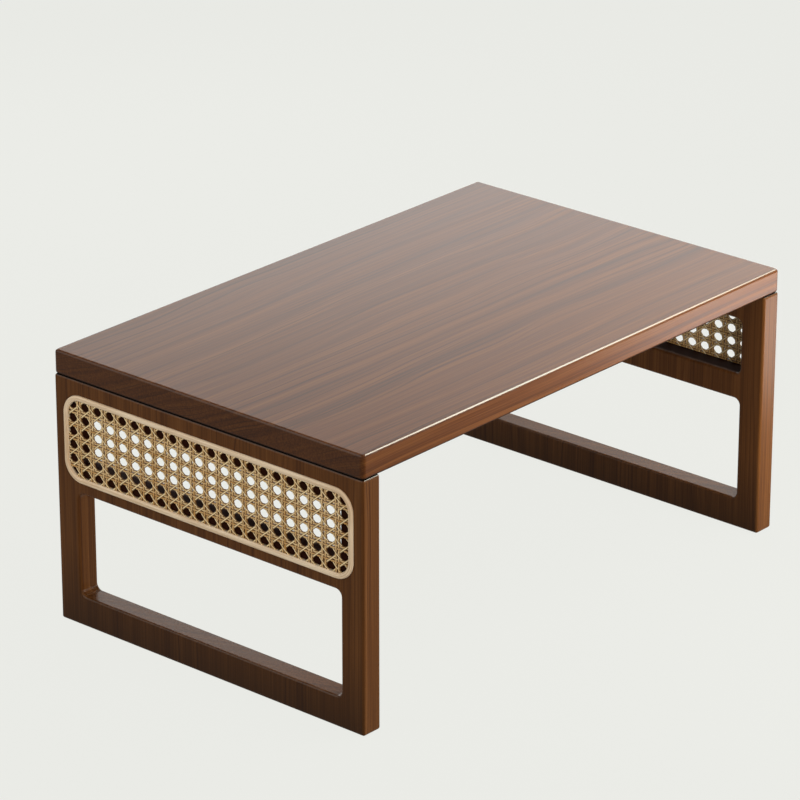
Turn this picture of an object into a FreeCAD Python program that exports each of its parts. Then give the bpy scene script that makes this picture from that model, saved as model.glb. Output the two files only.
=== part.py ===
import FreeCAD, Part

import math
import os

from FreeCAD import Vector

# A low tea table whose two leg frames fold in under the top, with a cane panel in each frame.
# Millimetres, +X along the top, +Z up, origin on the floor under the table's centre.
# Left is -X, right is +X, front is -Y and back is +Y.

# Tabletop
top_length = 720.0
top_width = 452.0
top_thickness = 28.5
top_corner_round = 5.0
top_edge_round = 3.5

# Leg frames, each of two stiles and three rails
leg_height = 296.0
leg_thickness = 27.0
leg_edge_round = 3.0
stile_width = 32.0
bottom_rail_height = 36.3
middle_rail_height = 31.4
window_height = 68.0
top_rail_height = 35.3
opening_corner_round = 8.0
opening_edge_round = 3.0

# Blind tenons on the rails
tenon_thickness = 8.0
tenon_length = 24.0
tenon_step = 6.0
tenon_clearance = 0.1
mortise_end_room = 1.0

# Reed spline, and the groove that holds it with the edge of the cane around the window's ledge
ledge_width = 10.0
spline_width = 6.5
spline_crown_flat = 0.3
spline_corner_round = 25.0
groove_depth = 6.0
groove_clearance = 0.3

# Cane webbing, a taut sheet with eight-sided holes whose corners are cut off at a share of each side
cane_thickness = 1.4
cane_pitch_across = 18.95
cane_pitch_up = 16.1
cane_hole_width = 12.4
cane_hole_height = 10.8
cane_hole_side_share = 0.42
cane_rim_strip = 1.5

# Folding brackets, two on each leg frame
bracket_from_shoulder = 43.0
bracket_width = 44.0
plate_thickness = 2.0
plate_corner_round = 4.0
top_plate_length = 58.0
leg_plate_height = 23.0
leg_plate_drop = 5.5
pivot_inset = 9.0
pivot_drop = 9.0
ear_thickness = 2.5
ear_radius = 6.5
knuckle_width = 24.0
knuckle_flat = 5.0
knuckle_corner_round = 2.5
knuckle_side_clearance = 0.3

# Hinge pins, riveted over the ears
pin_radius = 2.0
pin_clearance = 0.05
pin_head_radius = 3.4
pin_head_thickness = 1.2

# Detent leaf springs, which press on the flats of the knuckles
spring_width = 16.0
spring_thickness = 0.8
spring_length = 44.0
spring_tip_inset = 5.5
spring_bearing_length = 10.0
spring_ramp_length = 7.0
rivet_radius = 1.5
rivet_head_radius = 2.6
rivet_head_thickness = 0.8
rivet_spacing = 8.0
rivet_end_distance = 6.0
rivet_clearance = 0.05

# Wood screws through the plates
screw_length = 16.0
screw_radius = 1.75
screw_tip_length = 4.0
screw_head_radius = 3.5
screw_head_height = 1.8
screw_clearance = 0.1
screw_slot_length = 4.2
screw_slot_width = 0.9
screw_slot_depth = 1.0
screw_side_distance = 5.5
top_screw_first_distance = 24.0
top_screw_end_distance = 6.0
leg_screw_edge_distance = 6.0

# Felt pads let into the feet
pad_radius = 7.5
pad_thickness = 2.0
pad_seat_depth = 1.5
pad_clearance = 0.2
pad_end_inset = 16.0

# Every cut runs past the face that it opens by this much, and edges are found this close to their plane
overrun = 2.0
edge_search_margin = 0.3

# Levels and planes that the sizes above give, for the left leg
leg_bottom = pad_thickness - pad_seat_depth
leg_top = leg_bottom + leg_height
opening_bottom = leg_bottom + bottom_rail_height
window_top = leg_top - top_rail_height
window_bottom = window_top - window_height
opening_top = window_bottom - middle_rail_height
outer_face = -top_length / 2
inner_face = outer_face + leg_thickness
leg_middle = (outer_face + inner_face) / 2
half_width = top_width / 2
opening_half_width = half_width - stile_width
shoulder = opening_half_width - opening_corner_round
pivot_x = inner_face + pivot_inset
pivot_z = leg_top - pivot_drop

# The groove's outline round the window, then the spline, the cane's edge and the ledge inside it
spline_inset = groove_clearance
cane_inset = spline_inset + spline_width + groove_clearance
ledge_inset = cane_inset + cane_thickness
groove_half_width = opening_half_width + ledge_width + ledge_inset
groove_bottom = window_bottom - ledge_width - ledge_inset
groove_top = window_top + ledge_width + ledge_inset
bracket_y = shoulder - bracket_from_shoulder

along_x = Vector(1, 0, 0)
along_y = Vector(0, 1, 0)
along_z = Vector(0, 0, 1)
mirror_point = Vector(0, 0, 0)


def box_between(low, high):
    """Box from its lowest to its highest corner."""
    size = Vector(*high) - Vector(*low)
    return Part.makeBox(size.x, size.y, size.z, Vector(*low))


def edges_along(shape, axis):
    """Straight edges of a shape that run along an axis."""
    straight = [edge for edge in shape.Edges if isinstance(edge.Curve, Part.Line)]
    return [edge for edge in straight if abs(edge.Curve.Direction.dot(axis)) > 1 - Part.Precision.angular()]


def rounded_box(low, high, axis, corner):
    """Box whose edges along one axis are rounded."""
    block = box_between(low, high)
    return block.makeFillet(corner, edges_along(block, axis))


def edges_in_plane(shape, axis, level, low, high):
    """Edges that lie in a plane square to an axis, inside a box."""
    room = FreeCAD.BoundBox(*low, *high)
    found = []
    for edge in shape.Edges:
        box = edge.BoundBox
        span = (Vector(box.XMin, box.YMin, box.ZMin), Vector(box.XMax, box.YMax, box.ZMax))
        flat = all(abs(corner.dot(axis) - level) < edge_search_margin for corner in span)
        if flat and all(room.isInside(corner) for corner in span):
            found.append(edge)
    return found


def tabletop_board():
    """The top, with rounded corners and edges."""
    low = (-top_length / 2, -half_width, leg_top)
    high = (top_length / 2, half_width, leg_top + top_thickness)
    board = rounded_box(low, high, along_z, top_corner_round)
    rims = []
    for level in (low[2], high[2]):
        room_low = (low[0] - overrun, low[1] - overrun, level - overrun)
        room_high = (high[0] + overrun, high[1] + overrun, level + overrun)
        rims += edges_in_plane(board, along_z, level, room_low, room_high)
    return board.makeFillet(top_edge_round, rims)


def groove_prism(inset, near, far):
    """Prism of the groove's rounded rectangle, drawn in by an inset, between two depths in the leg."""
    low = (outer_face + near, -groove_half_width + inset, groove_bottom + inset)
    high = (outer_face + far, groove_half_width - inset, groove_top - inset)
    return rounded_box(low, high, along_x, spline_corner_round - inset)


def round_mouths(frame, levels, bottom, top):
    """Rounds the edges of an opening where it comes through the given faces."""
    rims = []
    for level in levels:
        low = (level - overrun, -opening_half_width - edge_search_margin, bottom - edge_search_margin)
        high = (level + overrun, opening_half_width + edge_search_margin, top + edge_search_margin)
        rims += edges_in_plane(frame, along_x, level, low, high)
    return frame.makeFillet(opening_edge_round, rims)


def through_opening(bottom, top):
    """Rounded opening right through the leg between two levels."""
    low = (outer_face - overrun, -opening_half_width, bottom)
    high = (inner_face + overrun, opening_half_width, top)
    return rounded_box(low, high, along_x, opening_corner_round)


def leg_frame():
    """The whole left leg frame, before it is parted into stiles and rails."""
    low = (outer_face, -half_width, leg_bottom)
    high = (inner_face, half_width, leg_top)
    block = box_between(low, high)
    frame = block.makeFillet(leg_edge_round, block.Edges)
    frame = frame.cut(through_opening(opening_bottom, opening_top))
    frame = round_mouths(frame, (outer_face, inner_face), opening_bottom, opening_top)
    frame = frame.cut(through_opening(window_bottom, window_top))
    frame = round_mouths(frame, (inner_face,), window_bottom, window_top)
    groove = groove_prism(0, -overrun, groove_depth)
    ledge = groove_prism(ledge_inset, cane_thickness, groove_depth)
    return frame.cut(groove.cut(ledge))


def tenon(low_z, high_z, end, room):
    """Tenon at one end of a rail, or its mortise where room is left around it."""
    reach = shoulder + tenon_length + (mortise_end_room if room else 0)
    ends = sorted((end * shoulder, end * reach))
    half_thickness = tenon_thickness / 2 + room
    low = (leg_middle - half_thickness, ends[0], low_z + tenon_step - room)
    high = (leg_middle + half_thickness, ends[1], high_z - tenon_step + room)
    return box_between(low, high)


def pad_disc(end, room):
    """Felt pad under one end of the leg, or its seat where room is left around it."""
    place = Vector(leg_middle, end * (half_width - pad_end_inset), 0)
    return Part.makeCylinder(pad_radius + room, pad_thickness, place, along_z)


def leg_members():
    """The stiles and rails of the left leg, with their tenons, mortises and pad seats."""
    frame = leg_frame()
    outside = (outer_face - overrun, inner_face + overrun)
    reach = half_width + overrun
    levels = (leg_bottom - overrun, leg_top + overrun)
    front = frame.common(box_between((outside[0], -reach, levels[0]), (outside[1], -shoulder, levels[1])))
    back = frame.common(box_between((outside[0], shoulder, levels[0]), (outside[1], reach, levels[1])))
    between = box_between((outside[0], -shoulder, levels[0]), (outside[1], shoulder, levels[1]))
    bars = sorted(frame.common(between).Solids, key=lambda bar: bar.CenterOfMass.z)
    spans = {
        "bottom_rail": (leg_bottom, opening_bottom),
        "middle_rail": (opening_top, window_bottom),
        "top_rail": (window_top, leg_top),
    }
    members = {}
    for (name, (low_z, high_z)), bar in zip(spans.items(), bars):
        tongues = [tenon(low_z, high_z, end, 0) for end in (-1, 1)]
        members[name] = bar.fuse(tongues).removeSplitter()
    for name, stile, end in (("front_stile", front, -1), ("back_stile", back, 1)):
        sockets = [tenon(*span, end, tenon_clearance) for span in spans.values()]
        members[name] = stile.cut(sockets + [pad_disc(end, pad_clearance)])
    return members


def reed_spline():
    """Half-round reed that closes the groove and stands proud of the leg's face."""
    crown = (spline_width - spline_crown_flat) / 2
    ring = groove_prism(spline_inset, -crown, groove_depth)
    ring = ring.cut(groove_prism(spline_inset + spline_width, -crown - overrun, groove_depth + overrun))
    low = (outer_face - crown - overrun, -half_width, leg_bottom)
    high = (outer_face - crown + overrun, half_width, leg_top)
    rims = edges_in_plane(ring, along_x, outer_face - crown, low, high)
    return ring.makeFillet(crown, rims)


def cane_hole(across, up):
    """Eight-sided hole of the webbing, as a face on the leg's outer plane."""
    side = cane_hole_side_share
    quarter = [(1, -side), (1, side), (side, 1), (-side, 1)]
    shares = quarter + [(-y, -z) for y, z in quarter]
    half_size = (cane_hole_width / 2, cane_hole_height / 2)
    corners = [Vector(outer_face, across + y * half_size[0], up + z * half_size[1]) for y, z in shares]
    return Part.Face(Part.makePolygon(corners + corners[:1]))


def face_on_leg(inset):
    """The groove's rounded rectangle, drawn in by an inset, as a face on the leg's outer plane."""
    prism = groove_prism(inset, 0, groove_depth)
    return min(prism.Faces, key=lambda face: face.CenterOfMass.x)


def cane_panel():
    """Holed sheet of cane whose edge turns down into the groove beside the spline."""
    open_width = 2 * (groove_half_width - cane_inset - cane_rim_strip)
    open_height = groove_top - groove_bottom - 2 * (cane_inset + cane_rim_strip)
    columns = math.ceil(open_width / cane_pitch_across)
    rows = math.ceil(open_height / cane_pitch_up)
    middle = (groove_bottom + groove_top) / 2
    holes = []
    for column in range(columns):
        across = (column - (columns - 1) / 2) * cane_pitch_across
        for row in range(rows):
            up = middle + (row - (rows - 1) / 2) * cane_pitch_up
            holes.append(cane_hole(across, up))
    clipped = Part.makeCompound(holes).common(face_on_leg(cane_inset + cane_rim_strip))
    net = face_on_leg(cane_inset).cut(clipped)
    sheet = net.extrude(along_x * cane_thickness)
    edge = groove_prism(cane_inset, cane_thickness, groove_depth)
    edge = edge.cut(groove_prism(ledge_inset, 0, groove_depth + overrun))
    return sheet.fuse(edge).removeSplitter()


def pin_bore(y_low, y_high, radius):
    """Cylinder on the hinge axis between two places across the table."""
    return Part.makeCylinder(radius, y_high - y_low, Vector(pivot_x, y_low, pivot_z), along_y)


def wood_screw(head, direction, room):
    """Countersunk screw from its head's middle inwards, or its hole where room is left around it."""
    shank_start = head + direction * screw_head_height
    tip_start = head + direction * (screw_length - screw_tip_length)
    shank_length = screw_length - screw_tip_length - screw_head_height
    cone = Part.makeCone(screw_head_radius + room, screw_radius + room, screw_head_height, head, direction)
    shank = Part.makeCylinder(screw_radius + room, shank_length, shank_start, direction)
    tip = Part.makeCone(screw_radius + room, room, screw_tip_length, tip_start, direction)
    screw = cone.fuse([shank, tip])
    if room:
        return screw
    first = direction.cross(along_y)
    half_sizes = (screw_slot_length / 2, screw_slot_width / 2)
    slots = []
    for half_first, half_second in (half_sizes, half_sizes[::-1]):
        reach = first * half_first + along_y * half_second
        ends = (head - reach - direction * overrun, head + reach + direction * screw_slot_depth)
        low = [min(pair) for pair in zip(*ends)]
        high = [max(pair) for pair in zip(*ends)]
        slots.append(box_between(low, high))
    return screw.cut(slots)


def top_screw_places(y):
    """Heads of the four screws that hold a bracket under the top."""
    start = pivot_x - ear_radius
    across = bracket_width / 2 - screw_side_distance
    along = (top_screw_first_distance, top_plate_length - top_screw_end_distance)
    level = leg_top - plate_thickness
    return [Vector(start + x, y + side * across, level) for x in along for side in (-1, 1)]


def leg_screw_places(y):
    """Heads of the four screws that hold a bracket on the leg's top rail."""
    across = bracket_width / 2 - screw_side_distance
    plate_top = leg_top - leg_plate_drop
    levels = (plate_top - leg_screw_edge_distance, plate_top - leg_plate_height + leg_screw_edge_distance)
    face = inner_face + plate_thickness
    return [Vector(face, y + side * across, z) for z in levels for side in (-1, 1)]


def rivet_places(y):
    """Feet of the two rivets that hold a spring to its plate."""
    x = pivot_x - spring_tip_inset + spring_length - rivet_end_distance
    return [Vector(x, y + side * rivet_spacing / 2, leg_top) for side in (-1, 1)]


def rivet(foot, room):
    """Rivet through plate and spring, or its hole where room is left around it."""
    grip = plate_thickness + spring_thickness
    shank = Part.makeCylinder(rivet_radius + room, grip, foot, -along_z)
    if room:
        return shank
    head_start = foot - along_z * grip
    head = Part.makeCylinder(rivet_head_radius, rivet_head_thickness, head_start, -along_z)
    return shank.fuse(head).removeSplitter()


def top_plate(y):
    """Bracket plate under the top, with two ears that carry the pin."""
    start = pivot_x - ear_radius
    low = (start, y - bracket_width / 2, leg_top - plate_thickness)
    high = (start + top_plate_length, y + bracket_width / 2, leg_top)
    plate = rounded_box(low, high, along_z, plate_corner_round)
    ears = []
    for side in (-1, 1):
        near = knuckle_width / 2 + knuckle_side_clearance
        ends = sorted((y + side * near, y + side * (near + ear_thickness)))
        disc = pin_bore(*ends, ear_radius)
        web_low = (pivot_x - ear_radius, ends[0], pivot_z)
        web_high = (pivot_x + ear_radius, ends[1], leg_top - plate_thickness)
        ears += [disc, box_between(web_low, web_high)]
    plate = plate.fuse(ears).removeSplitter()
    holes = [pin_bore(y - bracket_width, y + bracket_width, pin_radius + pin_clearance)]
    holes += [wood_screw(head, along_z, screw_clearance) for head in top_screw_places(y)]
    holes += [rivet(foot, rivet_clearance) for foot in rivet_places(y)]
    return plate.cut(holes)


def leg_plate(y):
    """Bracket plate on the leg, with the square knuckle that turns on the pin."""
    plate_top = leg_top - leg_plate_drop
    low = (inner_face, y - bracket_width / 2, plate_top - leg_plate_height)
    high = (inner_face + plate_thickness, y + bracket_width / 2, plate_top)
    plate = rounded_box(low, high, along_x, plate_corner_round)
    low = (inner_face + plate_thickness, y - knuckle_width / 2, pivot_z - knuckle_flat)
    high = (pivot_x + knuckle_flat, y + knuckle_width / 2, pivot_z + knuckle_flat)
    knuckle = box_between(low, high)
    corners = [edge for edge in edges_along(knuckle, along_y) if edge.CenterOfMass.x > pivot_x]
    knuckle = knuckle.makeFillet(knuckle_corner_round, corners)
    holes = [pin_bore(y - bracket_width, y + bracket_width, pin_radius + pin_clearance)]
    holes += [wood_screw(head, -along_x, screw_clearance) for head in leg_screw_places(y)]
    return plate.fuse(knuckle).removeSplitter().cut(holes)


def hinge_pin(y):
    """Pin through both ears, with a head formed over each."""
    half_grip = knuckle_width / 2 + knuckle_side_clearance + ear_thickness
    shank = pin_bore(y - half_grip, y + half_grip, pin_radius)
    front_head = pin_bore(y - half_grip - pin_head_thickness, y - half_grip, pin_head_radius)
    back_head = pin_bore(y + half_grip, y + half_grip + pin_head_thickness, pin_head_radius)
    return shank.fuse([front_head, back_head]).removeSplitter()


def detent_spring(y):
    """Leaf spring that lies on the knuckle's upper flat and is riveted to the top plate."""
    tip = pivot_x - spring_tip_inset
    bearing_end = tip + spring_bearing_length
    ramp_end = bearing_end + spring_ramp_length
    seat = leg_top - plate_thickness - spring_thickness
    bearing = pivot_z + knuckle_flat
    line = [(tip, bearing), (bearing_end, bearing), (ramp_end, seat), (tip + spring_length, seat)]
    front = y - spring_width / 2
    under = [Vector(x, front, z) for x, z in line]
    over = [Vector(x, front, z + spring_thickness) for x, z in reversed(line)]
    side = Part.Face(Part.makePolygon(under + over + under[:1]))
    leaf = side.extrude(along_y * spring_width)
    return leaf.cut([rivet(foot, rivet_clearance) for foot in rivet_places(y)])


def both_sides(name, shape):
    """A left piece and its mirrored right piece, under their names."""
    return {"left_" + name: shape, "right_" + name: shape.mirror(mirror_point, along_x)}


def folding_table():
    """Every piece of the table under its own name."""
    brackets = {"front": -bracket_y, "back": bracket_y}
    top_heads = [head for y in brackets.values() for head in top_screw_places(y)]
    leg_heads = [head for y in brackets.values() for head in leg_screw_places(y)]
    members = leg_members()
    pilots = [wood_screw(head, -along_x, screw_clearance) for head in leg_heads]
    members["top_rail"] = members["top_rail"].cut(pilots)

    pieces = {}
    for name, member in members.items():
        pieces.update(both_sides(name, member))
    pieces.update(both_sides("cane_panel", cane_panel()))
    pieces.update(both_sides("reed_spline", reed_spline()))
    for place, y in brackets.items():
        pieces.update(both_sides(place + "_top_plate", top_plate(y)))
        pieces.update(both_sides(place + "_leg_plate", leg_plate(y)))
        pieces.update(both_sides(place + "_hinge_pin", hinge_pin(y)))
        pieces.update(both_sides(place + "_detent_spring", detent_spring(y)))
    rivets = [rivet(foot, 0) for y in brackets.values() for foot in rivet_places(y)]
    pieces.update(both_sides("spring_rivets", Part.makeCompound(rivets)))
    top_screws = [wood_screw(head, along_z, 0) for head in top_heads]
    pieces.update(both_sides("top_plate_screws", Part.makeCompound(top_screws)))
    leg_screws = [wood_screw(head, -along_x, 0) for head in leg_heads]
    pieces.update(both_sides("leg_plate_screws", Part.makeCompound(leg_screws)))
    pads = [pad_disc(end, 0) for end in (-1, 1)]
    pieces.update(both_sides("foot_pads", Part.makeCompound(pads)))

    left_pilots = [wood_screw(head, along_z, screw_clearance) for head in top_heads]
    right_pilots = [pilot.mirror(mirror_point, along_x) for pilot in left_pilots]
    pieces["tabletop"] = tabletop_board().cut(left_pilots + right_pilots)
    return pieces


os.makedirs("parts", exist_ok=True)
for name, shape in sorted(folding_table().items()):
    shape.exportStep("parts/" + name + ".step")
    print(name, len(shape.Solids), "solid(s)", "valid" if shape.isValid() else "NOT VALID")
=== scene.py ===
"""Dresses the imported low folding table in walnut, woven cane, reed, felt and steel, in a plain studio."""
import math

import bmesh
import bpy
import numpy as np
from bpy.props import FloatProperty, FloatVectorProperty, IntProperty, PointerProperty
from mathutils import Matrix, Vector


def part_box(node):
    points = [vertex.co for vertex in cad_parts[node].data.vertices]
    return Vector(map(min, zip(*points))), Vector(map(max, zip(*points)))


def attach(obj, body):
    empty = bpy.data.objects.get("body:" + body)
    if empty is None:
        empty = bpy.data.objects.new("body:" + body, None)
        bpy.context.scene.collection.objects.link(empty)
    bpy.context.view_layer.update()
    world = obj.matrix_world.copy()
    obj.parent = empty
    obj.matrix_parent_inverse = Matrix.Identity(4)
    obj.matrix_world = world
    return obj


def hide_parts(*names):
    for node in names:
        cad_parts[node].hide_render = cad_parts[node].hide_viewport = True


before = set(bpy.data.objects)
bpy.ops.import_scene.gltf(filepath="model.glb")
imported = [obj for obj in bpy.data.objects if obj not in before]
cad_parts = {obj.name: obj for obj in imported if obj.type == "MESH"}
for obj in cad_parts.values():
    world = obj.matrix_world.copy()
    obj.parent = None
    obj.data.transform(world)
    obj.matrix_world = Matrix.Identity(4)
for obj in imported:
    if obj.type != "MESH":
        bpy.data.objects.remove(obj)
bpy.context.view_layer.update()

bl_info = {
    "name": "Low Folding Table",
    "version": (1, 0, 0),
    "blender": (4, 5, 0),
    "location": "View3D > Sidebar > Low Table",
    "description": "Finishes a low folding table with walnut, woven cane, reed, felt and steel",
    "category": "Object",
}

MILLIMETRE = 0.001
SIDES = {"left": -1, "right": 1}
LEG_MEMBERS = ("front_stile", "back_stile", "top_rail", "middle_rail", "bottom_rail")
BRACKET_PLACES = ("front", "back")
PLATES = ("top_plate", "leg_plate")

# Share of the long edges' burnish that the ends' edges get
END_EDGE_BURNISH = 0.3
# How steeply the rings lie through the board, and what bands and fibres add to its figure
RING_SLANT = 2.5
BAND_WEIGHT = 0.55
FIBRE_WEIGHT = 0.95
FIGURE_SHIFT = -0.25
# How dark the painted shade on the legs' broad faces is at the floor, and up to where
FOOT_PAINTED_SHADE = 0.62
FOOT_HEIGHT = 100 * MILLIMETRE
# Behind the cane's face, where the painted shade in the rebate starts and where it is full; how matt painted
# shade is
REBATE_SHADE_START = 26 * MILLIMETRE
REBATE_SHADE_FULL = 20 * MILLIMETRE
PAINTED_SHADE_ROUGHNESS = 0.9

# How pale the pairs and the slanting strands are at least, and how much more one strand may be
PAIR_TONE = 0.0
SLANT_TONE = 0.55
TONE_SPREAD = 0.35
# Shares of a strand's half width and half thickness that shape its section
BARK_FLAT = 0.55
BACK_FLAT = 0.6
EDGE_LEVEL = -0.5
# How far a strand's end runs on while it turns down, as a share of its thickness
END_RUN = 0.6
# Steps in which a strand is cut to the panel's outline, and the fewest that are worth a strand
CLIP_STEPS = 2000
SHORTEST_STRAND = 20
# Steps round a quarter turn of the reed's crown and of its corners
CROWN_STEPS = 6
CORNER_STEPS = 12
# How far the rim of a felt pad is frayed inward at most
FELT_FRAY = 0.15 * MILLIMETRE
# Share of the floor that shows its pale colour as it is; the rest takes light and shadow
PALE_SHARE = 0.9


def linear(hex_colour):
    """Turns an sRGB hex colour into linear red, green, blue and alpha."""
    channels = [int(hex_colour[start:start + 2], 16) / 255 for start in (1, 3, 5)]
    curve = [c / 12.92 if c <= 0.04045 else ((c + 0.055) / 1.055) ** 2.4 for c in channels]
    return (*curve, 1.0)


def colour(name, description, hex_colour):
    """A colour that a user can change."""
    return FloatVectorProperty(
        name=name, description=description, subtype="COLOR", size=4, min=0, max=1, default=linear(hex_colour)
    )


def length(name, description, millimetres):
    """A length that a user can change, given in millimetres and kept in metres."""
    return FloatProperty(
        name=name, description=description, unit="LENGTH", default=millimetres * MILLIMETRE, precision=5
    )


class LowTableWood(bpy.types.PropertyGroup):
    """Colours and grain of the walnut."""

    top_dark: colour("Top dark grain", "Late wood and thin lines of the top", "#3A1C08")
    top_middle: colour("Top ground", "Ground colour of the top", "#5C3212")
    top_light: colour("Top light grain", "Early wood of the top", "#70441E")
    leg_dark: colour("Leg dark grain", "Late wood and thin lines of the legs", "#3C1E0A")
    leg_middle: colour("Leg ground", "Ground colour of the legs", "#593517")
    leg_light: colour("Leg light grain", "Early wood of the legs", "#6C4423")
    # Painted shade in the joint of top and legs and on the legs near the floor, and the real extra stain of
    # end grain
    shade_and_stain_dark: colour("Joint dark", "Stain gathered in the joint of top and legs", "#0C0502")
    # Painted shade in the rebate and the window behind the cane
    rebate_shade_dark: colour("Stain dark", "Stain in the rebate behind the cane", "#260C03")
    ring_width: length("Ring width", "Width of the broad bands of early and late wood", 22.0)
    ring_wander: length("Ring wander", "How far the rings stray sideways along the board", 75.0)
    wave_length: length("Wave length", "Length in which the rings stray to and fro", 416.667)
    wave_width: length("Wave width", "Width over which the rings stray alike", 142.857)
    line_spacing: length("Line spacing", "Distance between the thin dark lines", 4.5)
    group_length: length("Group length", "Length of a group of thin dark lines", 500.0)
    group_width: length("Group width", "Width of a group of thin dark lines", 58.824)
    fibre_width: length("Fibre width", "Width of the streaks, wider than real pores so that they show", 2.4)
    fibre_length: length("Fibre length", "Length of the fine streaks along the grain", 300.0)


class LowTableCane(bpy.types.PropertyGroup):
    """Weave, reed and their colours."""

    pitch_across: length("Pitch across", "Distance between hole columns", 18.95)
    pitch_up: length("Pitch up", "Distance between hole rows", 16.1)
    columns: IntProperty(name="Columns", description="Columns of holes", default=22, min=1)
    rows: IntProperty(name="Rows", description="Rows of holes", default=6, min=1)
    pair_gap_across: length("Upright pair", "Distance between the two strands of an upright pair", 4.0)
    pair_gap_up: length("Level pair", "Distance between the two strands of a level pair", 3.3)
    upright_width: length("Upright width", "Width of the upright strands", 4.1)
    level_width: length("Level width", "Width of the level strands", 3.4)
    diagonal_width: length("Diagonal width", "Width of the slanting strands", 2.6)
    strand_thickness: length("Strand thickness", "Thickness of a strand", 1.1)
    weave_rise: length("Weave rise", "How far a strand rises or sinks where it crosses another", 0.45)
    stray: length("Stray", "How far a strand may lie to one side of its true line", 0.3)
    ledge_depth: length("Ledge depth", "How deep behind the leg's face the cane rests on its ledge", 1.4)
    corner_round: length("Corner round", "Corner radius of the cane's edge", 17.9)
    tuck_depth: length("Tuck depth", "How far a strand's end turns down into the groove", 3.5)
    reed_width: length("Reed width", "Width of the half-round reed", 6.5)
    reed_flat: length("Reed flat", "Width of the flat on the reed's crown", 0.3)
    reed_crown: length("Reed crown", "How far the reed stands proud of the leg", 2.2)
    reed_shoulder: length("Reed shoulder", "Width over which each side of the reed rounds off", 2.2)
    reed_corner: length("Reed corner", "Corner radius of the reed's middle line", 21.45)
    # Painted shade: a dark outline along each strand's edges
    strand_edge_shade: colour("Cane edge", "Cut edges of the strands", "#623A10")
    strand_dark: colour("Cane dark", "Aged strands", "#C0883E")
    strand_light: colour("Cane light", "Fresh strands", "#FFE4B2")
    reed_dark: colour("Reed dark", "Fibre lines of the reed", "#D2AE87")
    reed_light: colour("Reed light", "Ground of the reed", "#F4DCBE")


class LowTableFittings(bpy.types.PropertyGroup):
    """Colours of the brackets, springs, pins, screws and pads."""

    bracket_black: colour("Bracket black", "Powder coat on the brackets", "#1B1B1C")
    plated_steel: colour("Plated steel", "Zinc plate on pins and rivets", "#B9BBBE")
    spring_blue: colour("Spring steel", "Tempered blank spring steel", "#6E7480")
    screw_black: colour("Screw black", "Black oxide on the screws", "#26262A")
    felt_brown: colour("Felt brown", "Pressed wool felt of the pads", "#5A4636")


class LowTableStage(bpy.types.PropertyGroup):
    """Floor, surround and the photograph's camera."""

    backdrop: colour("Backdrop", "Pale surround", "#EAEBE6")
    floor_paint: colour("Floor paint", "The part of the floor that takes light and shadow", "#787876")
    floor_pale: colour("Floor pale", "The part of the floor that shows as it is", "#F3F4EF")
    camera_azimuth: FloatProperty(
        name="Azimuth", description="Camera's turn about the table", subtype="ANGLE",
        default=math.radians(-48.963)
    )
    camera_elevation: FloatProperty(
        name="Elevation", description="Camera's height angle", subtype="ANGLE", default=math.radians(22.618)
    )
    camera_distance: FloatProperty(
        name="Distance", description="From the camera to its target", unit="LENGTH", default=5.0489
    )
    camera_target: FloatVectorProperty(
        name="Target", description="Point at the middle of the picture", subtype="XYZ", unit="LENGTH",
        default=(0.002116, 0.038536, 0.201852)
    )
    camera_lens: FloatProperty(
        name="Lens", description="Focal length on a 36 mm sensor", unit="CAMERA", default=200.107
    )


def add_node(tree, kind, inputs=None, **settings):
    """Adds one shader node, with its settings and with values or links on its inputs."""
    node = tree.nodes.new(kind)
    for name, value in settings.items():
        setattr(node, name, value)
    for name, value in (inputs or {}).items():
        if isinstance(value, bpy.types.NodeSocket):
            tree.links.new(value, node.inputs[name])
        else:
            node.inputs[name].default_value = value
    return node


def new_material(name, **sockets):
    """A material with one principled shader whose constant sockets are set here."""
    material = bpy.data.materials.new(name)
    material.use_nodes = True
    shader = material.node_tree.nodes["Principled BSDF"]
    for socket, value in sockets.items():
        shader.inputs[socket.replace("_", " ")].default_value = value
    return material, material.node_tree, shader


def colour_steps(tree, factor, steps):
    """A colour ramp through the given places and colours."""
    ramp = add_node(tree, "ShaderNodeValToRGB", {"Fac": factor})
    elements = ramp.color_ramp.elements
    while len(elements) < len(steps):
        elements.new(1.0)
    for element, (place, value) in zip(elements, steps):
        element.position = place
        element.color = value
    return ramp.outputs["Color"]


def finish_surface(tree, shader, base, relief, strength, depth):
    """Gives the shader its base colour and the relief of a pattern, its depth in millimetres."""
    bump = add_node(
        tree, "ShaderNodeBump", {"Height": relief, "Strength": strength, "Distance": depth * MILLIMETRE}
    )
    tree.links.new(base, shader.inputs["Base Color"])
    tree.links.new(bump.outputs["Normal"], shader.inputs["Normal"])


def worn_edges(tree, normal):
    """How squarely a face looks along each axis and along the nearest one, and where hands burnish it.

    Burnished are the rounded edges that look upward, the long ones most of all."""
    turned = add_node(tree, "ShaderNodeVectorMath", {0: normal}, operation="ABSOLUTE").outputs["Vector"]
    facing = add_node(tree, "ShaderNodeSeparateXYZ", {"Vector": turned}).outputs
    level = add_node(tree, "ShaderNodeMath", {0: facing["X"], 1: facing["Y"]}, operation="MAXIMUM").outputs[0]
    squareness = add_node(tree, "ShaderNodeMath", {0: level, 1: facing["Z"]}, operation="MAXIMUM").outputs[0]
    rounded = add_node(
        tree, "ShaderNodeMapRange", {"Value": squareness, "From Min": 0.97, "From Max": 0.85}
    ).outputs["Result"]
    upward = add_node(tree, "ShaderNodeSeparateXYZ", {"Vector": normal}).outputs["Z"]
    touched = add_node(
        tree, "ShaderNodeMapRange", {"Value": upward, "From Min": 0.15, "From Max": 0.4}
    ).outputs["Result"]
    long_edge = add_node(
        tree, "ShaderNodeMapRange",
        {"Value": facing["X"], "From Min": 0.4, "From Max": 0.15, "To Min": END_EDGE_BURNISH}
    ).outputs["Result"]
    handled = add_node(tree, "ShaderNodeMath", {0: touched, 1: long_edge}, operation="MULTIPLY").outputs[0]
    burnished = add_node(tree, "ShaderNodeMath", {0: rounded, 1: handled}, operation="MULTIPLY").outputs[0]
    return facing, squareness, burnished


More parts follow.
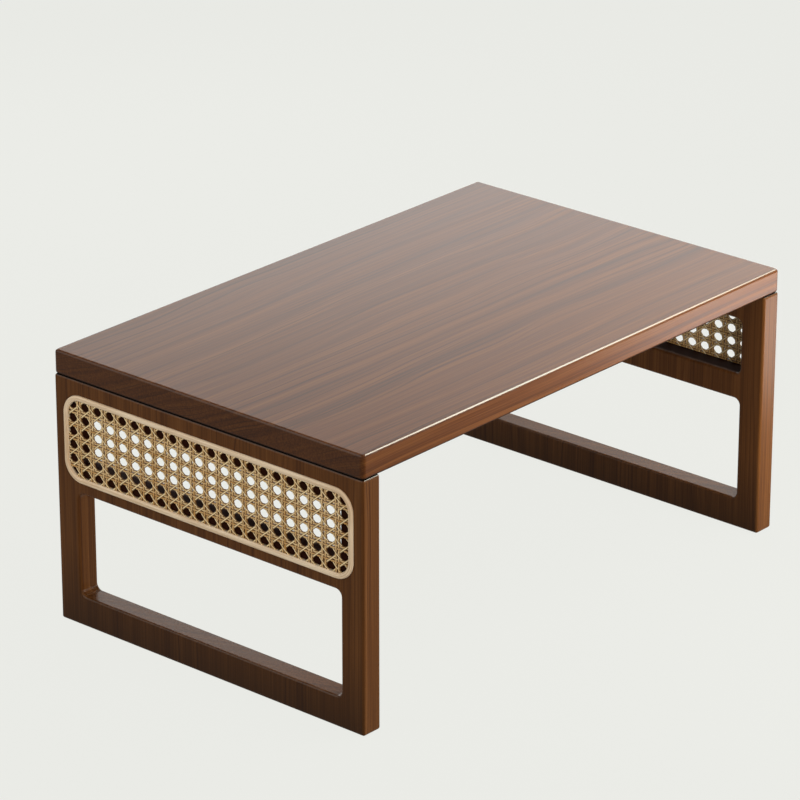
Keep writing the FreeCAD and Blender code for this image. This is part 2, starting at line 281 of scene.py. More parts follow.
def walnut_figure(tree, along, across, through, palette, wood):
    """The colour that bands, thin lines and fibres give the bare wood, and the fibres alone."""
    dark, middle, light = palette
    grain = add_node(tree, "ShaderNodeCombineXYZ", {"X": along, "Y": across, "Z": through}).outputs["Vector"]
    sizes = (
        (wood.wave_length, wood.wave_width),
        (wood.group_length, wood.group_width),
        (wood.fibre_length, wood.fibre_width),
    )
    places = []
    for long, wide in sizes:
        scale = (1 / long, 1 / wide, 1 / wide)
        scaled = add_node(tree, "ShaderNodeVectorMath", {0: grain, 1: scale}, operation="MULTIPLY")
        places.append(scaled.outputs["Vector"])
    wave_place, group_place, fibre_place = places

    # Rings lie slanting through the board and wander slowly along it
    wander = add_node(
        tree, "ShaderNodeTexNoise", {"Vector": wave_place, "Scale": 1.0, "Detail": 2.0, "Roughness": 0.4}
    ).outputs["Fac"]
    slant = add_node(
        tree, "ShaderNodeMath", {0: through, 1: RING_SLANT, 2: across}, operation="MULTIPLY_ADD"
    ).outputs[0]
    depth = add_node(
        tree, "ShaderNodeMath", {0: wander, 1: wood.ring_wander, 2: slant}, operation="MULTIPLY_ADD"
    ).outputs[0]
    bands = add_node(
        tree, "ShaderNodeTexNoise",
        {"W": depth, "Scale": 1 / wood.ring_width, "Detail": 3.0, "Roughness": 0.55}, noise_dimensions="1D"
    ).outputs["Fac"]

    # Thin dark lines follow the rings and come in groups
    line_noise = add_node(
        tree, "ShaderNodeTexNoise", {"W": depth, "Scale": 1 / wood.line_spacing, "Detail": 1.0},
        noise_dimensions="1D"
    ).outputs["Fac"]
    lines = add_node(
        tree, "ShaderNodeMapRange", {"Value": line_noise, "From Min": 0.58, "From Max": 0.74}
    ).outputs["Result"]
    groups = add_node(
        tree, "ShaderNodeTexNoise", {"Vector": group_place, "Scale": 1.0, "Detail": 1.0}
    ).outputs["Fac"]
    group_share = add_node(
        tree, "ShaderNodeMapRange",
        {"Value": groups, "From Min": 0.4, "From Max": 0.62, "To Min": 0.1, "To Max": 0.85}
    ).outputs["Result"]
    line_share = add_node(tree, "ShaderNodeMath", {0: lines, 1: group_share}, operation="MULTIPLY").outputs[0]

    # Fibres are long and narrow along the grain
    fibres = add_node(
        tree, "ShaderNodeTexNoise", {"Vector": fibre_place, "Scale": 1.0, "Detail": 4.0, "Roughness": 0.65}
    ).outputs["Fac"]
    band_part = add_node(
        tree, "ShaderNodeMath", {0: bands, 1: BAND_WEIGHT, 2: FIGURE_SHIFT}, operation="MULTIPLY_ADD"
    ).outputs[0]
    figure = add_node(
        tree, "ShaderNodeMath", {0: fibres, 1: FIBRE_WEIGHT, 2: band_part}, operation="MULTIPLY_ADD"
    ).outputs[0]
    ground = colour_steps(tree, figure, ((0.2, dark), (0.5, middle), (0.75, light)))
    lined = add_node(tree, "ShaderNodeMix", {0: line_share, 6: ground, 7: dark}, data_type="RGBA").outputs[2]
    return lined, fibres


def joint_shade_share(tree, axes, squareness, joint_shade_reach):
    """Painted shade on the rounded edges at the joint between the top and the legs, where the seam lies in
    shadow.
    """
    from_joint = add_node(
        tree, "ShaderNodeMath", {0: axes["Z"], 1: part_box("tabletop")[0].z}, operation="SUBTRACT"
    ).outputs[0]
    distance = add_node(tree, "ShaderNodeMath", {0: from_joint}, operation="ABSOLUTE").outputs[0]
    near_joint = add_node(
        tree, "ShaderNodeMapRange",
        {"Value": distance, "From Min": joint_shade_reach, "From Max": joint_shade_reach * 0.4}
    ).outputs["Result"]
    rounded_faces = add_node(
        tree, "ShaderNodeMapRange", {"Value": squareness, "From Min": 0.999, "From Max": 0.99}
    ).outputs["Result"]
    return add_node(tree, "ShaderNodeMath", {0: near_joint, 1: rounded_faces}, operation="MULTIPLY").outputs[0]


def rebate_shade_share(tree, axes):
    """Painted shade on the rebate and the window behind the cane, made matt, darkest by the cane and fading
    inward.
    """
    cane_low, cane_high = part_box("right_cane_panel")
    outward = add_node(tree, "ShaderNodeMath", {0: axes["X"]}, operation="ABSOLUTE").outputs[0]
    deep = add_node(
        tree, "ShaderNodeMapRange",
        {"Value": outward, "From Min": cane_high.x - REBATE_SHADE_START, "From Max": cane_high.x - REBATE_SHADE_FULL}
    ).outputs["Result"]
    middle_z = (cane_low.z + cane_high.z) / 2
    level_with = add_node(
        tree, "ShaderNodeMath", {0: axes["Z"], 1: middle_z, 2: cane_high.z - middle_z}, operation="COMPARE"
    ).outputs[0]
    between = add_node(
        tree, "ShaderNodeMath", {0: axes["Y"], 1: 0.0, 2: cane_high.y}, operation="COMPARE"
    ).outputs[0]
    framed = add_node(tree, "ShaderNodeMath", {0: level_with, 1: between}, operation="MULTIPLY").outputs[0]
    return add_node(tree, "ShaderNodeMath", {0: framed, 1: deep}, operation="MULTIPLY").outputs[0]


def lacquered_walnut(name, grain, palette, specular, joint_shade_reach, end_stain, wood):
    """Walnut, planed, stained, sprayed with satin lacquer and rubbed down.

    The grain names the axes along, across and through the board.

    The eye sees long straight bands of darker late wood, groups of thin dark lines and fine
    fibre streaks along the grain. Flat faces give back little light until they are seen at a low
    angle, while the long rounded edges are burnished by hands and catch a bright line."""
    material, tree, shader = new_material(
        name, IOR=1.5, Specular_IOR_Level=specular, Coat_Roughness=0.2, Coat_IOR=1.6
    )
    coordinates = add_node(tree, "ShaderNodeTexCoord").outputs
    axes = add_node(tree, "ShaderNodeSeparateXYZ", {"Vector": coordinates["Object"]}).outputs
    facing, squareness, burnished = worn_edges(tree, coordinates["Normal"])
    tree.links.new(burnished, shader.inputs["Coat Weight"])
    base, fibres = walnut_figure(tree, *(axes[axis] for axis in grain), palette, wood)

    # End grain drinks more stain; painted shade darkens the joint, the legs' broad faces towards the floor
    # and the rebate behind the cane
    joint = joint_shade_share(tree, axes, squareness, joint_shade_reach)
    end_grain = add_node(
        tree, "ShaderNodeMath", {0: facing[grain[0]], 1: end_stain}, operation="MULTIPLY"
    ).outputs[0]
    foot = add_node(
        tree, "ShaderNodeMapRange",
        {"Value": axes["Z"], "From Max": FOOT_HEIGHT, "To Min": FOOT_PAINTED_SHADE, "To Max": 0.0}
    ).outputs["Result"]
    foot_shade = add_node(tree, "ShaderNodeMath", {0: foot, 1: facing["X"]}, operation="MULTIPLY").outputs[0]
    behind = rebate_shade_share(tree, axes)
    # Each share mixes in a dark colour: painted shade in the joint, on the legs near the floor and behind the
    # cane, and real extra stain on end grain
    shades_and_stains = (
        (joint, wood.shade_and_stain_dark),
        (end_grain, wood.shade_and_stain_dark),
        (foot_shade, wood.shade_and_stain_dark),
        (behind, wood.rebate_shade_dark),
    )
    for share, stain in shades_and_stains:
        base = add_node(tree, "ShaderNodeMix", {0: share, 6: base, 7: stain}, data_type="RGBA").outputs[2]

    sheen = add_node(
        tree, "ShaderNodeMapRange", {"Value": fibres, "To Min": 0.26, "To Max": 0.40}
    ).outputs["Result"]
    # Where painted shade lies in the joint and behind the cane, the wood is made matt
    matt = add_node(tree, "ShaderNodeMath", {0: behind, 1: joint}, operation="MAXIMUM").outputs[0]
    roughness = add_node(tree, "ShaderNodeMix", {0: matt, 2: sheen, 3: PAINTED_SHADE_ROUGHNESS}).outputs[0]
    tree.links.new(roughness, shader.inputs["Roughness"])
    finish_surface(tree, shader, base, fibres, strength=0.1, depth=0.15)
    return material


def split_cane(name, edge_shade_colour, dark, light):
    """Rattan bark, split into strands and woven.

    The eye sees straw-coloured strands that differ a little from each other, with painted shade as a brown
    outline along their edges, fine lines along each strand and the waxy gloss of the bark."""
    material, tree, shader = new_material(name, IOR=1.5, Roughness=0.42, Specular_IOR_Level=0.15)
    tone = add_node(tree, "ShaderNodeAttribute", attribute_name="strand_tone").outputs["Fac"]
    run = add_node(tree, "ShaderNodeUVMap", uv_map="strand").outputs["UV"]
    line_length = 30 * MILLIMETRE
    lines_round = 5.0
    line_place = add_node(
        tree, "ShaderNodeVectorMath", {0: run, 1: (1 / line_length, lines_round, 1.0)}, operation="MULTIPLY"
    ).outputs["Vector"]
    lines = add_node(
        tree, "ShaderNodeTexNoise", {"Vector": line_place, "Scale": 1.0, "Detail": 3.0},
        noise_dimensions="2D"
    ).outputs["Fac"]
    share = add_node(tree, "ShaderNodeMath", {0: lines, 1: 0.5, 2: tone}, operation="MULTIPLY_ADD").outputs[0]

    # Painted shade along each strand's edges as a dark outline; a quarter of the way round leads from an edge
    # to the middle of a face
    around = add_node(tree, "ShaderNodeSeparateXYZ", {"Vector": run}).outputs["Y"]
    inset = add_node(tree, "ShaderNodeMath", {0: around, 1: 0.25}, operation="PINGPONG").outputs[0]
    edge = add_node(
        tree, "ShaderNodeMapRange", {"Value": inset, "From Min": 0.205, "From Max": 0.15, "To Max": 0.9}
    ).outputs["Result"]
    bark = colour_steps(tree, share, ((0.1, dark), (0.85, light)))
    base = add_node(tree, "ShaderNodeMix", {0: edge, 6: bark, 7: edge_shade_colour}, data_type="RGBA").outputs[2]
    finish_surface(tree, shader, base, lines, strength=0.3, depth=0.12)
    return material


def sanded_reed(name, dark, light):
    """Rattan core, drawn to a half round and sanded.

    The eye sees a pale matt rod with straight fibre lines along it."""
    material, tree, shader = new_material(name, IOR=1.45, Roughness=0.55, Specular_IOR_Level=0.15)
    run = add_node(tree, "ShaderNodeUVMap", uv_map="strand").outputs["UV"]
    line_length = 90 * MILLIMETRE
    lines_round = 9.0
    tone_length = 120 * MILLIMETRE
    line_place = add_node(
        tree, "ShaderNodeVectorMath", {0: run, 1: (1 / line_length, lines_round, 1.0)}, operation="MULTIPLY"
    ).outputs["Vector"]
    lines = add_node(
        tree, "ShaderNodeTexNoise", {"Vector": line_place, "Scale": 1.0, "Detail": 4.0, "Roughness": 0.6},
        noise_dimensions="2D"
    ).outputs["Fac"]

    # The tone shifts slowly along the rod, alike all the way round it
    tone_place = add_node(
        tree, "ShaderNodeVectorMath", {0: run, 1: (1 / tone_length, 0.0, 0.0)}, operation="MULTIPLY"
    ).outputs["Vector"]
    tone = add_node(
        tree, "ShaderNodeTexNoise", {"Vector": tone_place, "Scale": 1.0, "Detail": 2.0},
        noise_dimensions="2D"
    ).outputs["Fac"]
    figure = add_node(
        tree, "ShaderNodeMath", {0: tone, 1: 0.8, 2: lines}, operation="MULTIPLY_ADD"
    ).outputs[0]
    base = colour_steps(tree, figure, ((0.62, dark), (1.0, light)))
    finish_surface(tree, shader, base, lines, strength=0.35, depth=0.15)
    return material


def coated_metal(name, tint, metallic, roughness, grain_width, grain_relief):
    """Steel with a sprayed, plated or tempered surface.

    The eye sees a small even texture that breaks the highlight: orange peel on powder coat, a
    faint frost on plate. Its width and relief are in millimetres."""
    material, tree, shader = new_material(name, Metallic=metallic)
    place = add_node(tree, "ShaderNodeTexCoord").outputs["Object"]
    peel = add_node(
        tree, "ShaderNodeTexNoise", {"Vector": place, "Scale": 1 / (grain_width * MILLIMETRE), "Detail": 2.0}
    ).outputs["Fac"]
    shade = [channel * 0.8 for channel in tint[:3]] + [1.0]
    base = colour_steps(tree, peel, ((0.3, shade), (0.6, tint)))
    gloss = add_node(
        tree, "ShaderNodeMapRange", {"Value": peel, "To Min": roughness * 0.85, "To Max": roughness * 1.15}
    ).outputs["Result"]
    tree.links.new(gloss, shader.inputs["Roughness"])
    finish_surface(tree, shader, base, peel, strength=0.25, depth=grain_relief)
    return material


def pressed_felt(name, tint):
    """Wool felt, pressed and die cut.

    The eye sees a dull soft surface of tangled fibres with no highlight. The fibres are drawn
    much coarser than wool, so that they show."""
    material, tree, shader = new_material(name, Roughness=0.95, Specular_IOR_Level=0.1, Sheen_Weight=0.4)
    fibre_width = 0.6 * MILLIMETRE
    place = add_node(tree, "ShaderNodeTexCoord").outputs["Object"]
    fibres = add_node(
        tree, "ShaderNodeTexNoise",
        {"Vector": place, "Scale": 1 / fibre_width, "Detail": 5.0, "Distortion": 1.5}
    ).outputs["Fac"]
    shade = [channel * 0.6 for channel in tint[:3]] + [1.0]
    base = colour_steps(tree, fibres, ((0.3, shade), (0.65, tint)))
    finish_surface(tree, shader, base, fibres, strength=0.6, depth=0.3)
    return material


def new_object(name, data):
    """Puts a new object into the scene."""
    item = bpy.data.objects.new(name, data)
    bpy.context.scene.collection.objects.link(item)
    return item


def finish_nodes(nodes, material):
    """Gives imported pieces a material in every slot."""
    for node in nodes:
        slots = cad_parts[node].data.materials
        slots.clear()
        slots.append(material)


class SweptMesh:
    """Collects ribbons swept along lines on a panel, then makes them one mesh."""

    def __init__(self):
        self.points = []
        self.faces = []
        self.runs = []
        self.tones = []

    def add(self, line, section, tone, closed=False):
        """Sweeps a section (across, out) along a line of panel points (y, z, out)."""
        line = np.asarray(line)
        rings = len(line)
        sides = len(section)
        ahead = np.roll(line, -1, 0) - np.roll(line, 1, 0)
        if not closed:
            ahead[0] = line[1] - line[0]
            ahead[-1] = line[-1] - line[-2]
        shortest = 1e-9
        reach = np.maximum(np.linalg.norm(ahead[:, :2], axis=1), shortest)
        flat = ahead[:, :2] / reach[:, None]
        across = np.stack([-flat[:, 1], flat[:, 0], np.zeros(rings)], 1)
        start = len(self.points)
        travelled = np.concatenate([[0], np.cumsum(np.linalg.norm(np.diff(line, axis=0), axis=1))])
        for place, side in zip(line, across):
            for offset, rise in section:
                self.points.append(place + side * offset + np.array([0, 0, rise]))
        spans = rings if closed else rings - 1
        whole = travelled[-1] + np.linalg.norm(line[0] - line[-1])
        for ring in range(spans):
            following = (ring + 1) % rings
            ends = (travelled[ring], travelled[following] if following else whole)
            for side in range(sides):
                turn = (side + 1) % sides
                self.faces.append((
                    start + ring * sides + side,
                    start + ring * sides + turn,
                    start + following * sides + turn,
                    start + following * sides + side,
                ))
                bands = (side / sides, (side + 1) / sides)
                self.runs += [
                    (ends[0], bands[0]), (ends[0], bands[1]), (ends[1], bands[1]), (ends[1], bands[0])
                ]
        if not closed:
            for ring, step in ((0, -1), (rings - 1, 1)):
                cap = [start + ring * sides + side for side in range(sides)][::step]
                self.faces.append(tuple(cap))
                self.runs += [(travelled[ring], 0.5)] * sides
        self.tones += [tone] * (rings * sides)

    def make(self, name, face_x, outward):
        """The finished mesh object on the outer face of a leg."""
        points = np.asarray(self.points)
        placed = np.stack([face_x + outward * points[:, 2], points[:, 0], points[:, 1]], 1)
        mesh = bpy.data.meshes.new(name)
        mesh.from_pydata(placed.tolist(), [], self.faces)
        run_map = mesh.uv_layers.new(name="strand")
        run_map.data.foreach_set("uv", np.asarray(self.runs, np.float32).ravel())
        tone = mesh.attributes.new("strand_tone", "FLOAT", "POINT")
        tone.data.foreach_set("value", np.asarray(self.tones, np.float32))
        mesh.polygons.foreach_set("use_smooth", [True] * len(mesh.polygons))
        if outward > 0:
            mesh.flip_normals()
        mesh.update()
        return new_object(name, mesh)


def strand_section(width, thickness):
    """Section of a split strand: rounded bark in front, flatter behind."""
    half = width / 2
    rise = thickness / 2
    waist = EDGE_LEVEL * rise
    return [
        (half, waist), (BARK_FLAT * half, rise), (-BARK_FLAT * half, rise),
        (-half, waist), (-BACK_FLAT * half, -rise), (BACK_FLAT * half, -rise),
    ]


def reed_section(half, shoulder, crown, depth):
    """Section of the reed: a crown with rounded shoulders on a flat-sided tail that fills the groove."""
    turns = [math.radians(90 * step / CROWN_STEPS) for step in range(CROWN_STEPS + 1)]
    flat = half - shoulder
    right = [(flat + shoulder * math.cos(turn), crown * math.sin(turn)) for turn in turns]
    left = [(-across, out) for across, out in reversed(right)]
    return right + left + [(-half, -depth), (half, -depth)]


def rounded_loop(middle, reach, corner):
    """Points of a rounded rectangle on the panel, run anticlockwise."""
    loop = []
    for turn_start, (across, up) in enumerate(((1, -1), (1, 1), (-1, 1), (-1, -1))):
        centre = (middle.x + across * (reach.x - corner), middle.y + up * (reach.y - corner))
        for step in range(CORNER_STEPS + 1):
            turn = math.radians(90 * (turn_start - 1) + 90 * step / CORNER_STEPS)
            loop.append((centre[0] + corner * math.cos(turn), centre[1] + corner * math.sin(turn), 0.0))
    return loop


class CaneWeave:
    """Works out the lines of a six-way cane weave inside a rounded rectangle."""

    def __init__(self, cane, low, high):
        self.cane = cane
        self.low = np.array([low.y, low.z])
        self.high = np.array([high.y, high.z])
        self.middle = (self.low + self.high) / 2
        self.pitch = np.array([cane.pitch_across, cane.pitch_up])
        self.half_pair = np.array([cane.pair_gap_across, cane.pair_gap_up]) / 2
        self.levels = []
        self.uprights = []
        first = self.middle - self.pitch * np.array([cane.columns, cane.rows]) / 2
        self.first = first
        for gap in range(cane.columns + 1):
            for side in (-1, 1):
                self.uprights.append(first[0] + gap * self.pitch[0] + side * self.half_pair[0])
        for gap in range(cane.rows + 1):
            for side in (-1, 1):
                self.levels.append(first[1] + gap * self.pitch[1] + side * self.half_pair[1])

    def inside(self, point):
        """Whether a point lies in the cane's rounded outline."""
        round_size = self.cane.corner_round
        half = (self.high - self.low) / 2
        beyond = np.abs(np.asarray(point) - self.middle) - (half - round_size)
        return bool(np.linalg.norm(np.maximum(beyond, 0)) <= round_size)

    def clip(self, start, end):
        """The stretch of a straight line that lies inside the outline, as two shares, or None."""
        shares = np.linspace(0, 1, CLIP_STEPS + 1)
        held = [share for share in shares if self.inside(start + (end - start) * share)]
        return (held[0], held[-1]) if len(held) > SHORTEST_STRAND else None

    def strand(self, start, end, crossings):
        """Points of one strand: over or under each crossing, with its ends turned into the groove."""
        start = np.asarray(start)
        end = np.asarray(end)
        kept = self.clip(start, end)
        if kept is None:
            return None
        run = np.linalg.norm(end - start)
        margin = self.cane.upright_width / run
        held = sorted(
            (share, rise) for share, rise in crossings if kept[0] + margin < share < kept[1] - margin
        )
        stops = [(kept[0], 0.0)] + held + [(kept[1], 0.0)]
        line = []
        for (share, rise), (following, next_rise) in zip(stops, stops[1:]):
            line.append((share, rise))
            line.append(((share + following) / 2, (rise + next_rise) / 2))
        line.append(stops[-1])
        centre = self.cane.strand_thickness / 2 + self.cane.weave_rise - self.cane.ledge_depth
        points = [
            (*(start + (end - start) * share), centre + rise * self.cane.weave_rise) for share, rise in line
        ]
        direction = (end - start) / run
        step = self.cane.strand_thickness * END_RUN
        head = (*(start + (end - start) * kept[0] - direction * step), -self.cane.tuck_depth)
        tail = (*(start + (end - start) * kept[1] + direction * step), -self.cane.tuck_depth)
        return [head] + points + [tail]

    def upright_strands(self):
        """Upright pairs: woven with the levels, under one slant and over the other."""
        low, high = self.low[1], self.high[1]
        run = high - low
        for index, y in enumerate(self.uprights):
            crossings = []
            for level_index, z in enumerate(self.levels):
                crossings.append(((z - low) / run, 1 if (index + level_index) % 2 else -1))
            for slant, rise in ((1, -1), (-1, 1)):
                for z in self.slant_crossings(y, slant):
                    crossings.append(((z - low) / run, rise))
            yield (y, low), (y, high), crossings

    def level_strands(self):
        """Level pairs: woven with the uprights, over one slant and under the other."""
        low, high = self.low[0], self.high[0]
        run = high - low
        for index, z in enumerate(self.levels):
            crossings = []
            for upright_index, y in enumerate(self.uprights):
                crossings.append(((y - low) / run, -1 if (index + upright_index) % 2 else 1))
            for slant, rise in ((1, 1), (-1, -1)):
                for y in self.slant_reach(z, slant):
                    crossings.append(((y - low) / run, rise))
            yield (low, z), (high, z), crossings

    def slant_offsets(self, slant):
        """The level at which each slanting strand starts, in pitches above the first corner."""
        count = self.cane.columns + self.cane.rows
        lowest = 0.5 - self.cane.columns if slant > 0 else 0.5
        return [lowest + number for number in range(count)]

    def slant_crossings(self, y, slant):
        """Levels at which slanting strands cross an upright."""
        across = (y - self.first[0]) / self.pitch[0]
        offsets = self.slant_offsets(slant)
        return [self.first[1] + (offset + slant * across) * self.pitch[1] for offset in offsets]

    def slant_reach(self, z, slant):
        """Places across at which slanting strands cross a level."""
        up = (z - self.first[1]) / self.pitch[1]
        offsets = self.slant_offsets(slant)
        return [self.first[0] + slant * (up - offset) * self.pitch[0] for offset in offsets]

    def slanting_strands(self, slant):
        """Slanting strands between the pairs: over the uprights and under the levels, or the reverse."""
        left = self.first[0]
        right = left + self.cane.columns * self.pitch[0]
        for offset in self.slant_offsets(slant):
            start = np.array([left, self.first[1] + offset * self.pitch[1]])
            end = np.array([right, self.first[1] + (offset + slant * self.cane.columns) * self.pitch[1]])
            crossings = []
            for y in self.uprights:
                crossings.append(((y - left) / (right - left), slant))
            for z in self.levels:
                share = (z - start[1]) / (end[1] - start[1])
                crossings.append((share, -slant))
            yield start, end, crossings


class LOWTABLE_OT_walnut(bpy.types.Operator):
    """Gives the top and the leg frames their lacquered walnut"""

    bl_idname = "lowtable.walnut"
    bl_label = "Walnut Top and Legs"

    def execute(self, context):
        wood = context.scene.low_table_wood
        top = lacquered_walnut(
            "lacquered_walnut_top", "XYZ", (wood.top_dark, wood.top_middle, wood.top_light),
            specular=0.12, joint_shade_reach=3.2 * MILLIMETRE, end_stain=0.4, wood=wood
        )
        leg = lacquered_walnut(
            "lacquered_walnut_legs", "ZYX", (wood.leg_dark, wood.leg_middle, wood.leg_light),
            specular=0.07, joint_shade_reach=1.3 * MILLIMETRE, end_stain=0.0, wood=wood
        )
        finish_nodes(["tabletop"], top)
        finish_nodes([f"{side}_{member}" for side in SIDES for member in LEG_MEMBERS], leg)
        return {"FINISHED"}


class LOWTABLE_OT_cane(bpy.types.Operator):
    """Weaves the cane panel of each leg frame"""

    bl_idname = "lowtable.cane"
    bl_label = "Woven Cane Panels"

    def execute(self, context):
        cane = context.scene.low_table_cane
        material = split_cane("split_rattan_cane", cane.strand_edge_shade, cane.strand_dark, cane.strand_light)
        for number, (side, outward) in enumerate(SIDES.items()):
            node = f"{side}_cane_panel"
            low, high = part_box(node)
            face_x = low.x if outward < 0 else high.x
            chance = np.random.default_rng(number)
            weave = CaneWeave(cane, low, high)
            mesh = SweptMesh()
            families = (
                (weave.upright_strands(), cane.upright_width, PAIR_TONE),
                (weave.level_strands(), cane.level_width, PAIR_TONE),
                (weave.slanting_strands(1), cane.diagonal_width, SLANT_TONE),
                (weave.slanting_strands(-1), cane.diagonal_width, SLANT_TONE),
            )
            for strands, width, least_tone in families:
                section = strand_section(width, cane.strand_thickness)
                for start, end, crossings in strands:
                    tone = least_tone + chance.uniform(0.0, TONE_SPREAD)
                    run = np.subtract(end, start)
                    aside = np.array([-run[1], run[0]]) / np.linalg.norm(run)
                    stray = chance.uniform(-cane.stray, cane.stray) * aside
                    line = weave.strand(start + stray, end + stray, crossings)
                    if line is not None:
                        mesh.add(line, section, tone)
            piece = mesh.make(f"{side}_woven_cane", face_x, outward)
            piece.data.materials.append(material)
            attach(piece, f"{side}_leg")
            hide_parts(node)
        return {"FINISHED"}


class LOWTABLE_OT_reed(bpy.types.Operator):
    """Lays the half-round reed round each cane panel"""

    bl_idname = "lowtable.reed"
    bl_label = "Reed Splines"

    def execute(self, context):
        cane = context.scene.low_table_cane
        material = sanded_reed("sanded_rattan_reed", cane.reed_dark, cane.reed_light)
        half = cane.reed_width / 2
        for side, outward in SIDES.items():
            node = f"{side}_reed_spline"
            low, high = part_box(node)
            packed_crown = half - cane.reed_flat / 2
            face_x = low.x + packed_crown if outward < 0 else high.x - packed_crown
            depth = (high.x - low.x) - packed_crown
            section = reed_section(half, cane.reed_shoulder, cane.reed_crown, depth)
            middle = Vector(((low.y + high.y) / 2, (low.z + high.z) / 2))
            reach = Vector(((high.y - low.y) / 2 - half, (high.z - low.z) / 2 - half))
            mesh = SweptMesh()
            mesh.add(rounded_loop(middle, reach, cane.reed_corner), section, tone=0.5, closed=True)
            piece = mesh.make(f"{side}_half_round_reed", face_x, outward)
            piece.data.materials.append(material)
            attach(piece, f"{side}_leg")
            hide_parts(node)
        return {"FINISHED"}


class LOWTABLE_OT_fittings(bpy.types.Operator):
    """Finishes the brackets, springs, pins, rivets and screws"""

    bl_idname = "lowtable.fittings"
    bl_label = "Folding Brackets"

    def execute(self, context):
        fittings = context.scene.low_table_fittings
        black = coated_metal(
            "powder_coated_steel", fittings.bracket_black, metallic=0.0, roughness=0.5,
            grain_width=0.9, grain_relief=0.08
        )
        plated = coated_metal(
            "zinc_plated_steel", fittings.plated_steel, metallic=1.0, roughness=0.35,
            grain_width=1.5, grain_relief=0.02
        )
        tempered = coated_metal(
            "tempered_spring_steel", fittings.spring_blue, metallic=1.0, roughness=0.3,
            grain_width=3.0, grain_relief=0.01
        )
        oxide = coated_metal(
            "black_oxide_steel", fittings.screw_black, metallic=0.6, roughness=0.4,
            grain_width=1.2, grain_relief=0.02
        )
        brackets = [f"{side}_{place}" for side in SIDES for place in BRACKET_PLACES]
        finish_nodes([f"{name}_{plate}" for name in brackets for plate in PLATES], black)
        finish_nodes([f"{name}_hinge_pin" for name in brackets], plated)
        finish_nodes([f"{side}_spring_rivets" for side in SIDES], plated)
        finish_nodes([f"{name}_detent_spring" for name in brackets], tempered)
        finish_nodes([f"{side}_{plate}_screws" for side in SIDES for plate in PLATES], oxide)
        return {"FINISHED"}


class LOWTABLE_OT_pads(bpy.types.Operator):
    """Makes the felt pads under the feet"""

    bl_idname = "lowtable.pads"
    bl_label = "Felt Pads"

    def execute(self, context):
        material = pressed_felt("pressed_wool_felt", context.scene.low_table_fittings.felt_brown)
        for number, side in enumerate(SIDES):
            node = f"{side}_foot_pads"
            low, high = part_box(node)
            radius = (high.x - low.x) / 2
            edge = (high.z - low.z) / 4
            chance = np.random.default_rng(number)
            build = bmesh.new()
            for end in (low.y + radius, high.y - radius):
                middle = Vector(((low.x + high.x) / 2, end, (low.z + high.z) / 2))
                disc = bmesh.ops.create_cone(
                    build, cap_ends=True, cap_tris=False, segments=48, radius1=radius, radius2=radius,
                    depth=high.z - low.z, matrix=Matrix.Translation(middle)
                )
                rims = {
                    edge_line for vertex in disc["verts"] for edge_line in vertex.link_edges
                    if abs(edge_line.verts[0].co.z - edge_line.verts[1].co.z) < edge
                }
                bmesh.ops.bevel(build, geom=list(rims), offset=edge, segments=3, affect="EDGES", profile=0.5)
            for vertex in build.verts:
                pull = chance.uniform(0, FELT_FRAY)
                vertex.co.x += pull if vertex.co.x < (low.x + high.x) / 2 else -pull
            mesh = bpy.data.meshes.new(f"{side}_felt_pads")
            build.to_mesh(mesh)
            build.free()
            mesh.polygons.foreach_set("use_smooth", [True] * len(mesh.polygons))
            piece = new_object(f"{side}_felt_pads", mesh)
            piece.data.materials.append(material)
            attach(piece, f"{side}_leg")
            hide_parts(node)
        return {"FINISHED"}


# Soft boxes: name, place, point faced, width and height, watts, tint, mirrored in gloss, lighting matt faces
LAMPS = (
    # Mirrored as the bright line along the front edge of the top
    ("edge_softbox", (0.869, -0.226, 1.141), (0.103, 0.198, 0.476), (1.3, 0.68), 29.0,
     (0.97, 1.0, 0.85), True, False),
    # Light on the top and the fronts
    ("key_softbox", (0.3, -0.55, 1.05), (0.0, -0.1, 0.325), (0.9, 0.8), 9.5, (1.0, 0.98, 0.9), False, True),
    ("side_softbox", (0.4, -0.85, 0.24), (0.3, -0.2, 0.2), (0.45, 0.26), 6.0, (1.0, 0.98, 0.92), False, True),
    # Mirrored as the sheen on the front of the far leg
    ("low_softbox", (0.67, -0.5, 0.1), (0.36, -0.22, 0.05), (0.3, 0.22), 2.2, (1.0, 1.0, 0.98), True, False),
    # Light on the near end and the fronts
    ("fill_softbox", (-1.3, 0.55, 1.05), (-0.36, 0.1, 0.2), (1.5, 1.5), 9.0, (1.0, 0.99, 0.95), True, True),
    ("front_softbox", (-1.3, -3.4, 0.5), (0.0, -0.2, 0.15), (1.4, 0.8), 50.0, (1.0, 0.99, 0.95), False, True),
    # Mirrored as the broad sheen on the top
    ("back_softbox", (0.757, 0.654, 0.5125), (0.0, 0.0, 0.5125), (2.0, 0.485), 10.2,
     (0.96, 1.0, 1.0), True, False),
    ("high_softbox", (0.757, 0.654, 0.93), (0.0, 0.0, 0.93), (2.0, 0.345), 1.8,
     (1.0, 0.96, 0.88), True, False),
    # Light on the back and the far end
    ("rear_softbox", (0.9, 1.5, 0.9), (0.0, 0.1, 0.2), (1.0, 0.8), 14.0, (1.0, 0.99, 0.95), False, True),
)


def soft_light(name, place, target, size, power, tint, mirrored, lighting):
    """A rectangular soft light that faces a point; gloss may mirror it and matt surfaces take its light."""
    lamp = bpy.data.lights.new(name, "AREA")
    lamp.shape = "RECTANGLE"
    lamp.size, lamp.size_y = size
    lamp.energy = power
    lamp.color = tint
    light = new_object(name, lamp)
    light.location = place
    light.visible_camera = False
    light.visible_glossy = mirrored
    light.visible_diffuse = lighting
    light.rotation_euler = (Vector(target) - Vector(place)).to_track_quat("-Z", "Y").to_euler()


